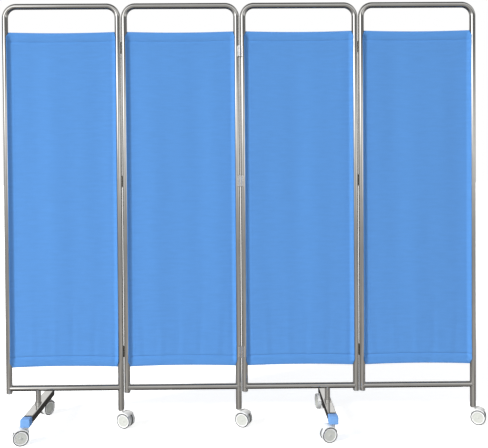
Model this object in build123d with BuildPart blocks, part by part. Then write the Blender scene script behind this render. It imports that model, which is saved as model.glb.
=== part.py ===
from build123d import *

import math
import os

# Four-leaf folding hospital privacy screen, standing open and flat.
# Origin: on the floor, under the middle of the screen. X runs along the leaves,
# -Y is the front, Z is up. All lengths are in millimetres.

# Leaves
SCREEN_HEIGHT = 1800.0
LEAF_WIDTH = 500.0
LEAF_GAP = 2.0

# Frame tubes
TUBE_OD = 25.0
TUBE_WALL = 1.2
BEND_RADIUS = 47.5
RAIL_OD = 25.0
RAIL_WALL = 1.2
RAIL_HEIGHT = 168.0
POST_OVERHANG = 20.0
WELD_GAP = 0.1

# End plugs of the short posts
PLUG_HEAD = 3.5
PLUG_ROUND = 2.3
PLUG_SHANK = 16.0
PLUG_FIT = 0.1

# Curtains and the rods in their hems
ROD_OD = 5.0
ROD_SEAT = 4.0
ROD_HOLE_GAP = 0.3
TOP_ROD_DROP = 128.0
TOP_ROD_SAG = 4.0
BOTTOM_ROD_LIFT = 96.5
BOTTOM_ROD_RISE = 4.5
CLOTH = 1.2
CLOTH_GAP = 0.3
CLOTH_SIDE_GAP = 0.5
HEM_PLIES = 2.6
SIDE_HEM_PLIES = 2.3
TOP_HEM = 36.0
BOTTOM_HEM = 39.0
SIDE_HEM = 26.0

# Hinges: three on each joint, alternately behind and in front of the leaves
HINGE_HEIGHT = 44.0
LOWER_HINGE_LIFT = 150.0
UPPER_HINGE_DROP = 205.0
REAR_HINGE_RISE = 20.0
MIDDLE_HINGE_SHARE = 0.570086
AXIS_OFFSET = 16.0
KNUCKLE_OD = 12.0
KNUCKLE_GAP = 0.5
HINGE_SHEET = 1.8
HINGE_WEB = 3.2
SADDLE_OUTER_DEG = 6.0
SADDLE_INNER_DEG = 6.0
PIN_OD = 6.0
PIN_RUNNING_GAP = 0.05
PIN_HEAD = 2.4
PIN_HEAD_LIP = 1.2
PIN_ROUND = 1.2

# Cross feet under the first and third leaves
FOOT_LENGTH = 400.0
FOOT_INSET = 135.0
FOOT_WIDTH = 36.0
FOOT_DEPTH = 30.0
FOOT_WALL = 1.5
FOOT_CORNER = 3.0
CAP_SKIN = 1.5
CAP_END = 2.5
CAP_WRAP = 33.0
CAP_FIT = 0.1
CAP_ROUND = 3.0
END_PLUG_SHANK = 9.0
STUB_OD = 22.0
STUB_WALL = 1.5
COLLAR_OD = 27.0
COLLAR_HEIGHT = 9.0
COLLAR_BEVEL = 1.2

# Casters: swivelling hoods with two wheels each
CASTER_HEIGHT = 71.0
WHEEL_OD = 63.0
WHEEL_WIDTH = 17.5
WHEEL_FACE_GAP = 0.5
TYRE = 4.0
TYRE_SEAT_GAP = 0.05
TYRE_ROUND = 2.0
HUB_DISH = 1.6
HUB_RIM = 3.0
CASTER_TRAIL = 22.0
CASTER_SETBACK = 21.0
HOOD_FIN = 12.0
HOOD_SHELL = 2.5
HOOD_WHEEL_GAP = 1.2
HOOD_BOSS_OD = 18.0
HOOD_TOP_GAP = 0.3
HOOD_FRONT_DEG = 45.0
HOOD_REAR_DEG = 160.0
AXLE_OD = 6.0
AXLE_BOSS_OD = 18.0
AXLE_RUNNING_GAP = 0.05
AXLE_END_WALL = 4.0
SPINDLE_OD = 7.0
SPINDLE_DEPTH = 20.0
SPINDLE_RUNNING_GAP = 0.05
FLANGE = 2.0
FLANGE_OD = 20.0
SOCKET_PLUG = 30.0
SOCKET_FIT = 0.1
SHANK_OD = 8.0
SHANK_GAP = 0.3
NUT_FLATS = 13.0
NUT_HEIGHT = 6.5
NUT_GAP = 0.1
SHANK_END = 2.0

# One overrun serves every cut, and no fillet takes more than this share of its wall
OVERRUN = 5.0
ROUND_SHARE = 0.8

LEAF_PITCH = LEAF_WIDTH + LEAF_GAP
TUBE_R = TUBE_OD / 2
TUBE_BORE_R = TUBE_R - TUBE_WALL
ROD_R = ROD_OD / 2
CLEAR_HALF_WIDTH = LEAF_WIDTH / 2 - TUBE_OD
SHORT_POST_END = RAIL_HEIGHT - POST_OVERHANG
TOP_ROD_HEIGHT = SCREEN_HEIGHT - TOP_ROD_DROP
BOTTOM_ROD_HEIGHT = RAIL_HEIGHT + BOTTOM_ROD_LIFT
LOWER_HINGE = RAIL_HEIGHT + LOWER_HINGE_LIFT
UPPER_HINGE = SCREEN_HEIGHT - UPPER_HINGE_DROP
MIDDLE_HINGE = LOWER_HINGE + MIDDLE_HINGE_SHARE * (UPPER_HINGE - LOWER_HINGE)
HINGE_SIDES = (1, -1, 1)

# For each leaf, the ends of its left and right posts and the side of its cross foot
POST_ENDS = (("plug", "caster"), ("plug", "caster"), ("plug", "plug"), ("plug", "caster"))
FOOT_SIDES = ("left", "none", "right", "none")
LEAF_COUNT = len(POST_ENDS)


def leaf_centre(leaf):
    """The X of a leaf's middle."""
    return (leaf - (LEAF_COUNT - 1) / 2) * LEAF_PITCH


def post_x(leaf, side):
    """The X of a post's centreline; side is -1 for the left post and 1 for the right."""
    return leaf_centre(leaf) + side * (LEAF_WIDTH / 2 - TUBE_R)


def foot_x(leaf):
    """The X of a cross foot, set in from the leaf's outer or inner edge."""
    side = -1 if FOOT_SIDES[leaf] == "left" else 1
    return leaf_centre(leaf) + side * (LEAF_WIDTH / 2 - FOOT_INSET)


def save(builder, name):
    """Label a finished piece and write its file."""
    builder.part.label = name
    export_step(builder.part, f"parts/{name}.step")


os.makedirs("parts", exist_ok=True)

# Direction in which each caster trails, in degrees from +X
STEM_REACH = FOOT_LENGTH / 2 - CASTER_SETBACK
TRAIL_DEG = {
    "left_foot_front": 199.0,
    "left_foot_rear": 241.0,
    "right_foot_front": 195.0,
    "right_foot_rear": 98.0,
    "post_1": -22.0,
    "post_2": -22.0,
    "post_4": -22.0,
}


def casters_of(leaf):
    """The name and the swivel's X and Y of each caster that a leaf stands on."""
    found = []
    if FOOT_SIDES[leaf] != "none":
        for place, y in (("front", -STEM_REACH), ("rear", STEM_REACH)):
            found.append((f"{FOOT_SIDES[leaf]}_foot_{place}", foot_x(leaf), y))
    for side, kind in zip((-1, 1), POST_ENDS[leaf]):
        if kind == "caster":
            found.append((f"post_{leaf + 1}", post_x(leaf, side), 0))
    return found


# Frames: one tube each, bent into two posts and a top, with holes for the curtain rods
def bent_frame(leaf):
    ends = [SHORT_POST_END if kind == "plug" else CASTER_HEIGHT for kind in POST_ENDS[leaf]]
    top = SCREEN_HEIGHT - TUBE_R
    left, right = post_x(leaf, -1), post_x(leaf, 1)
    with BuildPart() as frame:
        with BuildLine(Plane.XZ) as path:
            FilletPolyline((left, ends[0]), (left, top), (right, top), (right, ends[1]), radius=BEND_RADIUS)
        with BuildSketch(Plane(origin=(left, 0, ends[0]), z_dir=(0, 0, 1))):
            Circle(TUBE_R)
            Circle(TUBE_BORE_R, mode=Mode.SUBTRACT)
        sweep()
        hole_start = leaf_centre(leaf) - CLEAR_HALF_WIDTH - TUBE_R
        for rod_end in (TOP_ROD_HEIGHT + TOP_ROD_SAG, BOTTOM_ROD_HEIGHT - BOTTOM_ROD_RISE):
            with BuildSketch(Plane.YZ.offset(hole_start)):
                with Locations((0, rod_end)):
                    Circle(ROD_R + ROD_HOLE_GAP)
            extrude(amount=LEAF_WIDTH - TUBE_OD, mode=Mode.SUBTRACT)
    return frame


# Bottom rails: straight tubes, coped to the posts
def bottom_rail(leaf):
    with BuildPart() as rail:
        with BuildSketch(Plane.YZ.offset(post_x(leaf, -1))):
            with Locations((0, RAIL_HEIGHT)):
                Circle(RAIL_OD / 2)
                Circle(RAIL_OD / 2 - RAIL_WALL, mode=Mode.SUBTRACT)
        extrude(amount=LEAF_WIDTH - TUBE_OD)
        with BuildSketch(Plane.XY.offset(RAIL_HEIGHT - RAIL_OD)):
            with Locations((post_x(leaf, -1), 0), (post_x(leaf, 1), 0)):
                Circle(TUBE_R + WELD_GAP)
        extrude(amount=2 * RAIL_OD, mode=Mode.SUBTRACT)
    return rail


# Plugs in the open ends of the short posts, with rounded heads
def post_plugs(leaf):
    sides = [side for side, kind in zip((-1, 1), POST_ENDS[leaf]) if kind == "plug"]
    spots = [(post_x(leaf, side), 0) for side in sides]
    with BuildPart() as plugs:
        with BuildSketch(Plane.XY.offset(SHORT_POST_END)):
            with Locations(*spots):
                Circle(TUBE_BORE_R - PLUG_FIT)
        extrude(amount=PLUG_SHANK)
        with BuildSketch(Plane.XY.offset(SHORT_POST_END)):
            with Locations(*spots):
                Circle(TUBE_R)
        extrude(amount=-PLUG_HEAD)
        lower_rims = plugs.edges().filter_by(GeomType.CIRCLE).group_by(Axis.Z)[0]
        fillet(lower_rims, min(PLUG_ROUND, ROUND_SHARE * PLUG_HEAD))
    return plugs


def rod_arc(height, bow):
    """A rod's arc in the leaf's plane, from the leaf's middle: one end, the middle, the other end."""
    reach = CLEAR_HALF_WIDTH + ROD_SEAT
    return (-reach, height + bow), (0, height), (reach, height + bow)


def round_bar(points, radius):
    """A round bar along an arc in the XZ plane."""
    with BuildPart() as bar:
        with BuildLine(Plane.XZ):
            arc = ThreePointArc(*points)
        with BuildSketch(Plane(origin=arc @ 0, z_dir=arc % 0)):
            Circle(radius)
        sweep()
    return bar.part


# Rods that stretch each curtain: the cloth draws them slightly towards each other
def hem_rods(leaf):
    top_rod = round_bar(rod_arc(TOP_ROD_HEIGHT, TOP_ROD_SAG), ROD_R)
    bottom_rod = round_bar(rod_arc(BOTTOM_ROD_HEIGHT, -BOTTOM_ROD_RISE), ROD_R)
    with BuildPart() as rods:
        with Locations((leaf_centre(leaf), 0, 0)):
            add(top_rod)
            add(bottom_rod)
    return rods


def band(top_arc, low_arc, thickness):
    """A flat piece in the leaf's plane between an arc above and an arc below it."""
    with BuildPart() as flat:
        with BuildSketch(Plane.XZ):
            with BuildLine():
                ThreePointArc(*top_arc)
                ThreePointArc(*low_arc)
                for end in (0, -1):
                    Line(top_arc[end], low_arc[end])
            make_face()
        extrude(amount=thickness / 2, both=True)
    return flat.part


def raised(arc, rise):
    """An arc's points moved up."""
    return tuple((x, z + rise) for x, z in arc)


# One curtain about X = 0, stretched flat between its rods: hemmed on all sides, with a
# sleeve for each rod
def curtain_cloth():
    half = CLEAR_HALF_WIDTH - CLOTH_SIDE_GAP
    sleeve_r = ROD_R + CLOTH_GAP + CLOTH
    pocket_r = ROD_R + CLOTH_GAP
    top_arc = rod_arc(TOP_ROD_HEIGHT, TOP_ROD_SAG)
    low_arc = rod_arc(BOTTOM_ROD_HEIGHT, -BOTTOM_ROD_RISE)
    with BuildPart() as side_hems:
        add(band(top_arc, low_arc, SIDE_HEM_PLIES))
        with BuildSketch(Plane.XZ):
            with Locations((0, TOP_ROD_HEIGHT)):
                Rectangle(2 * (half - SIDE_HEM), 2 * TOP_ROD_HEIGHT)
        extrude(amount=HEM_PLIES, both=True, mode=Mode.SUBTRACT)
    with BuildPart() as cloth:
        add(band(top_arc, low_arc, CLOTH))
        add(side_hems.part)
        add(band(top_arc, raised(top_arc, -TOP_HEM), HEM_PLIES))
        add(band(raised(low_arc, BOTTOM_HEM), low_arc, HEM_PLIES))
        for arc in (top_arc, low_arc):
            add(round_bar(arc, sleeve_r))
        for arc in (top_arc, low_arc):
            add(round_bar(arc, pocket_r), mode=Mode.SUBTRACT)
        with BuildSketch(Plane.XZ):
            with Locations((0, TOP_ROD_HEIGHT)):
                Rectangle(2 * half, 2 * TOP_ROD_HEIGHT)
        extrude(amount=2 * sleeve_r, both=True, mode=Mode.INTERSECT)
    return cloth.part


def curtain(leaf, cloth):
    with BuildPart() as hung:
        with Locations((leaf_centre(leaf), 0, 0)):
            add(cloth)
    return hung


def hinge_centres(joint):
    """The heights of a joint's hinges; behind the leaves, the upper one sits higher."""
    rise = REAR_HINGE_RISE if HINGE_SIDES[joint] > 0 else 0
    return LOWER_HINGE, MIDDLE_HINGE, UPPER_HINGE + rise


# Hinge leaves: sheet saddles welded to the post, with knuckles round the pin
def hinge_leaves(joint, side):
    axis_x = leaf_centre(joint) + LEAF_PITCH / 2
    axis_y = HINGE_SIDES[joint] * AXIS_OFFSET
    post = axis_x + side * (LEAF_GAP / 2 + TUBE_R)
    to_axis = math.degrees(math.atan2(axis_y, axis_x - post))
    outward = 90.0 * HINGE_SIDES[joint]
    turn = 1 if to_axis > outward else -1
    first = outward - turn * SADDLE_OUTER_DEG
    sweep_deg = to_axis + turn * SADDLE_INNER_DEG - first
    inner_r = TUBE_R + WELD_GAP
    outer_r = inner_r + HINGE_SHEET
    reach = math.hypot(axis_x - post, axis_y)
    web_length = reach - inner_r - HINGE_SHEET / 2
    web_mid = reach - web_length / 2
    knuckle = (HINGE_HEIGHT - 2 * KNUCKLE_GAP) / 3
    bands = (0, 2) if side < 0 else (1,)

    def polar(radius, degrees):
        angle = math.radians(degrees)
        return post + radius * math.cos(angle), radius * math.sin(angle)

    with BuildPart() as hinge:
        with BuildSketch():
            with BuildLine():
                CenterArc((post, 0), inner_r, first, sweep_deg)
                CenterArc((post, 0), outer_r, first, sweep_deg)
                for end in (first, first + sweep_deg):
                    Line(polar(inner_r, end), polar(outer_r, end))
            make_face()
        extrude(amount=HINGE_HEIGHT)
        for k in bands:
            with BuildSketch(Plane.XY.offset(k * (knuckle + KNUCKLE_GAP))):
                with Locations((axis_x, axis_y)):
                    Circle(KNUCKLE_OD / 2)
                with Locations(polar(web_mid, to_axis)):
                    Rectangle(web_length, HINGE_WEB, rotation=to_axis)
            extrude(amount=knuckle)
        with BuildSketch(Plane.XY.offset(-OVERRUN)):
            with Locations((axis_x, axis_y)):
                Circle(PIN_OD / 2 + PIN_RUNNING_GAP)
        extrude(amount=HINGE_HEIGHT + 2 * OVERRUN, mode=Mode.SUBTRACT)
    with BuildPart() as leaves:
        with Locations(*[(0, 0, centre - HINGE_HEIGHT / 2) for centre in hinge_centres(joint)]):
            add(hinge.part)
    return leaves


# Hinge pins: one through each set of knuckles, with a head above and below
def hinge_pins(joint):
    spot = (leaf_centre(joint) + LEAF_PITCH / 2, HINGE_SIDES[joint] * AXIS_OFFSET)
    length = HINGE_HEIGHT + 2 * KNUCKLE_GAP
    with BuildPart() as pin:
        with BuildSketch():
            with Locations(spot):
                Circle(PIN_OD / 2)
        extrude(amount=length / 2, both=True)
        for way in (-1, 1):
            with BuildSketch(Plane.XY.offset(way * length / 2)):
                with Locations(spot):
                    Circle(PIN_OD / 2 + PIN_HEAD_LIP)
            extrude(amount=way * PIN_HEAD)
        rims = pin.edges().filter_by(GeomType.CIRCLE).group_by(Axis.Z)
        fillet(rims[0] + rims[-1], min(PIN_ROUND, ROUND_SHARE * PIN_HEAD))
    with BuildPart() as pins:
        with Locations(*[(0, 0, centre) for centre in hinge_centres(joint)]):
            add(pin.part)
    return pins


BAR_BASE = CASTER_HEIGHT + CAP_SKIN
BAR_TOP = BAR_BASE + FOOT_DEPTH
BAR_HALF = FOOT_LENGTH / 2 - CAP_END
BAR_INNER_CORNER = max(FOOT_CORNER - FOOT_WALL, FOOT_CORNER / 3)


# Foot bars: rectangular tube across the leaf, drilled for the caster stems
def foot_bar(leaf):
    origin = (foot_x(leaf), -BAR_HALF, BAR_BASE + FOOT_DEPTH / 2)
    plane = Plane(origin=origin, x_dir=(1, 0, 0), z_dir=(0, 1, 0))
    with BuildPart() as bar:
        with BuildSketch(plane):
            RectangleRounded(FOOT_WIDTH, FOOT_DEPTH, FOOT_CORNER)
            RectangleRounded(FOOT_WIDTH - 2 * FOOT_WALL, FOOT_DEPTH - 2 * FOOT_WALL, BAR_INNER_CORNER,
                             mode=Mode.SUBTRACT)
        extrude(amount=2 * BAR_HALF)
        with BuildSketch(Plane.XY.offset(BAR_BASE - OVERRUN)):
            with Locations((foot_x(leaf), -STEM_REACH), (foot_x(leaf), STEM_REACH)):
                Circle(SHANK_OD / 2 + SHANK_GAP)
        extrude(amount=OVERRUN + FOOT_DEPTH / 2, mode=Mode.SUBTRACT)
    return bar


# Foot caps: in front a plastic sleeve closed at its end and pushed over the bar, at the rear a
# plug pushed into it, with a head that is flush with the bar
def foot_caps(leaf):
    middle = BAR_BASE + FOOT_DEPTH / 2

    def across(y, facing):
        return Plane(origin=(foot_x(leaf), y, middle), x_dir=(1, 0, 0), z_dir=(0, facing, 0))

    with BuildPart() as sleeve:
        with BuildSketch(across(CAP_WRAP - BAR_HALF, -1)):
            RectangleRounded(FOOT_WIDTH + 2 * CAP_SKIN, FOOT_DEPTH + 2 * CAP_SKIN, FOOT_CORNER + CAP_SKIN)
        extrude(amount=CAP_WRAP + CAP_END)
        end_face = sleeve.faces().sort_by(Axis.Y)[0]
        fillet(end_face.edges(), min(CAP_ROUND, CAP_END + CAP_SKIN / 2))
        with BuildSketch(across(CAP_WRAP - BAR_HALF, -1)):
            RectangleRounded(FOOT_WIDTH + 2 * CAP_FIT, FOOT_DEPTH + 2 * CAP_FIT, FOOT_CORNER + CAP_FIT)
        extrude(amount=CAP_WRAP + CAP_FIT, mode=Mode.SUBTRACT)
        with BuildSketch(Plane.XY.offset(CASTER_HEIGHT - OVERRUN)):
            with Locations((foot_x(leaf), -STEM_REACH)):
                Circle(SHANK_OD / 2 + SHANK_GAP)
        extrude(amount=OVERRUN + FOOT_DEPTH / 2, mode=Mode.SUBTRACT)
    with BuildPart() as plug:
        with BuildSketch(across(BAR_HALF + CAP_FIT, 1)):
            RectangleRounded(FOOT_WIDTH, FOOT_DEPTH, FOOT_CORNER)
        extrude(amount=CAP_END - CAP_FIT)
        end_face = plug.faces().sort_by(Axis.Y)[-1]
        fillet(end_face.edges(), min(CAP_ROUND, ROUND_SHARE * (CAP_END - CAP_FIT)))
        play = 2 * (FOOT_WALL + CAP_FIT)
        with BuildSketch(across(BAR_HALF + CAP_FIT, -1)):
            RectangleRounded(FOOT_WIDTH - play, FOOT_DEPTH - play, BAR_INNER_CORNER)
        extrude(amount=END_PLUG_SHANK)
    with BuildPart() as pair:
        add(sleeve.part)
        add(plug.part)
    return pair


# Foot stubs: short tubes from the rail down to the bar, each with a collar at its base
def foot_stub(leaf):
    base = BAR_TOP + WELD_GAP
    with BuildPart() as stub:
        with BuildSketch(Plane.XY.offset(base)):
            with Locations((foot_x(leaf), 0)):
                Circle(STUB_OD / 2)
                Circle(STUB_OD / 2 - STUB_WALL, mode=Mode.SUBTRACT)
        extrude(amount=RAIL_HEIGHT - base)
        with BuildSketch(Plane.YZ.offset(foot_x(leaf) - STUB_OD)):
            with Locations((0, RAIL_HEIGHT)):
                Circle(RAIL_OD / 2 + WELD_GAP)
        extrude(amount=2 * STUB_OD, mode=Mode.SUBTRACT)
    with BuildPart() as collar:
        with BuildSketch(Plane.XY.offset(base)):
            with Locations((foot_x(leaf), 0)):
                Circle(COLLAR_OD / 2)
        extrude(amount=COLLAR_HEIGHT)
        chamfer(collar.edges().filter_by(GeomType.CIRCLE).group_by(Axis.Z)[-1], COLLAR_BEVEL)
        with BuildSketch(Plane.XY.offset(base)):
            with Locations((foot_x(leaf), 0)):
                Circle(STUB_OD / 2 + WELD_GAP)
        extrude(amount=COLLAR_HEIGHT, mode=Mode.SUBTRACT)
    with BuildPart() as pair:
        add(stub.part)
        add(collar.part)
    return pair


# Caster stems of a leaf: a socket plug in a post, or a shank and nut in a foot bar, each with a
# flange and a plain spindle below it; the rear flange of a foot is thicker, by the front cap's skin
def caster_stems(leaf):
    with BuildPart() as stems:
        for name, x, y in casters_of(leaf):
            with BuildSketch(Plane.XY.offset(CASTER_HEIGHT - FLANGE - SPINDLE_DEPTH)):
                with Locations((x, y)):
                    Circle(SPINDLE_OD / 2)
            extrude(amount=SPINDLE_DEPTH + FLANGE)
            with BuildSketch(Plane.XY.offset(CASTER_HEIGHT - FLANGE)):
                with Locations((x, y)):
                    Circle(FLANGE_OD / 2)
            extrude(amount=FLANGE + CAP_SKIN if name.endswith("rear") else FLANGE)
            in_post = name.startswith("post")
            length = SOCKET_PLUG if in_post else CAP_SKIN + FOOT_WALL + NUT_GAP + NUT_HEIGHT + SHANK_END
            radius = TUBE_BORE_R - SOCKET_FIT if in_post else SHANK_OD / 2
            with BuildSketch(Plane.XY.offset(CASTER_HEIGHT)):
                with Locations((x, y)):
                    Circle(radius)
            extrude(amount=length)
            if not in_post:
                with BuildSketch(Plane.XY.offset(BAR_BASE + FOOT_WALL + NUT_GAP)):
                    with Locations((x, y)):
                        RegularPolygon(NUT_FLATS / 2, 6, major_radius=False)
                        Circle(SHANK_OD / 2 + NUT_GAP, mode=Mode.SUBTRACT)
                extrude(amount=NUT_HEIGHT)
    return stems


def side_plane(x, y, trail_deg, offset):
    """The upright plane along a caster's trail, moved along its axle; its Y is up."""
    angle = math.radians(trail_deg)
    normal = Vector(math.sin(angle), -math.cos(angle), 0)
    origin = Vector(x, y, 0) + normal * offset
    return Plane(origin=origin, x_dir=(math.cos(angle), math.sin(angle), 0), z_dir=normal)


WHEEL_R = WHEEL_OD / 2
HUB = (CASTER_TRAIL, WHEEL_R)
WELL_R = WHEEL_R + HOOD_WHEEL_GAP
HOOD_R = WELL_R + HOOD_SHELL
WHEEL_INNER = HOOD_FIN / 2 + WHEEL_FACE_GAP
WHEEL_OUTER = WHEEL_INNER + WHEEL_WIDTH
HOOD_TOP = CASTER_HEIGHT - FLANGE - HOOD_TOP_GAP


# Caster hoods: a fin between the wheels, a shell over them and a boss round the spindle,
# with the axle as a second solid through the fin
def caster_hood(x, y, trail_deg):
    middle = side_plane(x, y, trail_deg, 0)
    with BuildPart() as hood:
        with BuildSketch(middle):
            with BuildLine():
                start = math.radians(HOOD_FRONT_DEG)
                stop = math.radians(HOOD_REAR_DEG)
                front = (HUB[0] + HOOD_R * math.cos(start), HUB[1] + HOOD_R * math.sin(start))
                rear = (HUB[0] + HOOD_R * math.cos(stop), HUB[1] + HOOD_R * math.sin(stop))
                CenterArc(HUB, HOOD_R, HOOD_FRONT_DEG, HOOD_REAR_DEG - HOOD_FRONT_DEG)
                Line(rear, HUB)
                Line(HUB, front)
            make_face()
        extrude(amount=WHEEL_OUTER - WHEEL_FACE_GAP, both=True)
        with BuildSketch(Plane.XY.offset(HUB[1] + AXLE_BOSS_OD / 2)):
            with Locations((x, y)):
                Circle(HOOD_BOSS_OD / 2)
        extrude(amount=HOOD_TOP - HUB[1] - AXLE_BOSS_OD / 2)
        with BuildSketch(middle):
            with Locations(HUB):
                Circle(AXLE_BOSS_OD / 2)
        extrude(amount=HOOD_FIN / 2, both=True)
        for way in (-1, 1):
            with BuildSketch(side_plane(x, y, trail_deg, way * HOOD_FIN / 2)):
                with Locations(HUB):
                    Circle(WELL_R)
            extrude(amount=way * (WHEEL_WIDTH + OVERRUN), mode=Mode.SUBTRACT)
        with BuildSketch(Plane.XY.offset(CASTER_HEIGHT - FLANGE - SPINDLE_DEPTH - SPINDLE_RUNNING_GAP)):
            with Locations((x, y)):
                Circle(SPINDLE_OD / 2 + SPINDLE_RUNNING_GAP)
        extrude(amount=SPINDLE_DEPTH + OVERRUN, mode=Mode.SUBTRACT)
        with BuildSketch(middle):
            with Locations(HUB):
                Circle(AXLE_OD / 2 + WELD_GAP)
        extrude(amount=HOOD_FIN, both=True, mode=Mode.SUBTRACT)
    with BuildPart() as axle:
        with BuildSketch(middle):
            with Locations(HUB):
                Circle(AXLE_OD / 2)
        extrude(amount=WHEEL_OUTER - AXLE_END_WALL - AXLE_RUNNING_GAP, both=True)
    with BuildPart() as pair:
        add(hood.part)
        add(axle.part)
    return pair


# Caster wheels: a dished hub on the axle and a tyre round it
def caster_wheel(x, y, trail_deg, way):
    angle = math.radians(trail_deg)
    trail = Vector(math.cos(angle), math.sin(angle), 0)
    outward = Vector(math.sin(angle), -math.cos(angle), 0) * way
    hub_point = Vector(x, y, 0) + trail * CASTER_TRAIL + Vector(0, 0, WHEEL_R)
    profile = Plane(origin=hub_point, x_dir=outward, z_dir=outward.cross(Vector(0, 0, 1)))
    turn_axis = Axis(hub_point, outward)
    hub_r = WHEEL_R - TYRE
    bore_r = AXLE_OD / 2 + AXLE_RUNNING_GAP
    bore_end = WHEEL_OUTER - AXLE_END_WALL
    with BuildPart() as hub:
        with BuildSketch(profile):
            with BuildLine():
                Polyline((WHEEL_INNER, bore_r), (WHEEL_INNER, hub_r), (WHEEL_OUTER, hub_r),
                         (WHEEL_OUTER, hub_r - HUB_RIM), (WHEEL_OUTER - HUB_DISH, hub_r - HUB_RIM - HUB_DISH),
                         (WHEEL_OUTER - HUB_DISH, 0), (bore_end, 0), (bore_end, bore_r), close=True)
            make_face()
        revolve(axis=turn_axis)
    with BuildPart() as tyre:
        with BuildSketch(profile):
            with BuildLine():
                Polyline((WHEEL_INNER, hub_r + TYRE_SEAT_GAP), (WHEEL_INNER, WHEEL_R),
                         (WHEEL_OUTER, WHEEL_R), (WHEEL_OUTER, hub_r + TYRE_SEAT_GAP), close=True)
            make_face()
        revolve(axis=turn_axis)
        fillet(tyre.edges().filter_by(GeomType.CIRCLE).group_by(SortBy.RADIUS)[-1], TYRE_ROUND)
    with BuildPart() as wheel:
        add(hub.part)
        add(tyre.part)
    return wheel


plain_cloth = curtain_cloth()
for leaf in range(LEAF_COUNT):
    number = leaf + 1
    save(bent_frame(leaf), f"frame_{number}")
    save(bottom_rail(leaf), f"bottom_rail_{number}")
    save(post_plugs(leaf), f"post_plugs_{number}")
    save(hem_rods(leaf), f"hem_rods_{number}")
    save(curtain(leaf, plain_cloth), f"curtain_{number}")
    save(caster_stems(leaf), f"caster_stems_{number}")

for joint in range(LEAF_COUNT - 1):
    pair_name = f"{joint + 1}_{joint + 2}"
    save(hinge_leaves(joint, -1), f"hinge_left_leaves_{pair_name}")
    save(hinge_leaves(joint, 1), f"hinge_right_leaves_{pair_name}")
    save(hinge_pins(joint), f"hinge_pins_{pair_name}")

for leaf in range(LEAF_COUNT):
    if FOOT_SIDES[leaf] != "none":
        save(foot_bar(leaf), f"{FOOT_SIDES[leaf]}_foot_bar")
        save(foot_caps(leaf), f"{FOOT_SIDES[leaf]}_foot_caps")
        save(foot_stub(leaf), f"{FOOT_SIDES[leaf]}_foot_stub")
    for caster, stem_x, stem_y in casters_of(leaf):
        save(caster_hood(stem_x, stem_y, TRAIL_DEG[caster]), f"{caster}_hood")
        save(caster_wheel(stem_x, stem_y, TRAIL_DEG[caster], 1), f"{caster}_wheel_a")
        save(caster_wheel(stem_x, stem_y, TRAIL_DEG[caster], -1), f"{caster}_wheel_b")
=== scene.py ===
import math

import bmesh
import bpy
import numpy as np
from mathutils import Matrix, Vector


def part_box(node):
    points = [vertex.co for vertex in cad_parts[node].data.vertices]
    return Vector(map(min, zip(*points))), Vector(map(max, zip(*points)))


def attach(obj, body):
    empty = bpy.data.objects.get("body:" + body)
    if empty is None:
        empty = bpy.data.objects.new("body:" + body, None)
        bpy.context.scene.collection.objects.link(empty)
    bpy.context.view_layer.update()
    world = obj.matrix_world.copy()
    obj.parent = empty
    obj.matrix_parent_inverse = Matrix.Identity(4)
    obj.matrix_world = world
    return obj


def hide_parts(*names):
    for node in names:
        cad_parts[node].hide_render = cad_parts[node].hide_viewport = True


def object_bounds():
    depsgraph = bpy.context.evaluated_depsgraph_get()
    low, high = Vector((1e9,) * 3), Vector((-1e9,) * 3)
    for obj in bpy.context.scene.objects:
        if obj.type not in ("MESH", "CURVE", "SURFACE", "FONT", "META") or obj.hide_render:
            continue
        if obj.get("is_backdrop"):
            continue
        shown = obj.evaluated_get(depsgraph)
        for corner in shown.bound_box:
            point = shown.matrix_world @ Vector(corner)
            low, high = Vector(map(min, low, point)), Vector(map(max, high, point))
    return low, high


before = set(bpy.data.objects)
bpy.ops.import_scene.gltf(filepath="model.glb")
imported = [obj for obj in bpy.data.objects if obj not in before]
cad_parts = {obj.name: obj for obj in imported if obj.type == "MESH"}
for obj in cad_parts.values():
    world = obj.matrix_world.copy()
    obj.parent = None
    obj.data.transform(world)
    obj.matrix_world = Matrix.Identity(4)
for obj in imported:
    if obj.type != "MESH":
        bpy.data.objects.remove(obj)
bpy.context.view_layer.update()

# Frame tubes: each leaf is one stainless tube of 25 mm, bent twice over a former into two posts
# and a top, with the posts cut short or left long for a caster. It is polished along its length.
TUBE_R = 0.0125
TUBE_WALL = 0.0012
BEND_R = 0.0475
TUBE_SIDES = 64
BEND_STEPS = 24
SAME_POINT = 1e-6
STREAKS_PER_METRE = (2600.0, 9.0, 1.0)
STREAK_HEIGHT = 0.00002
WIPES_PER_METRE = 22.0


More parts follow.
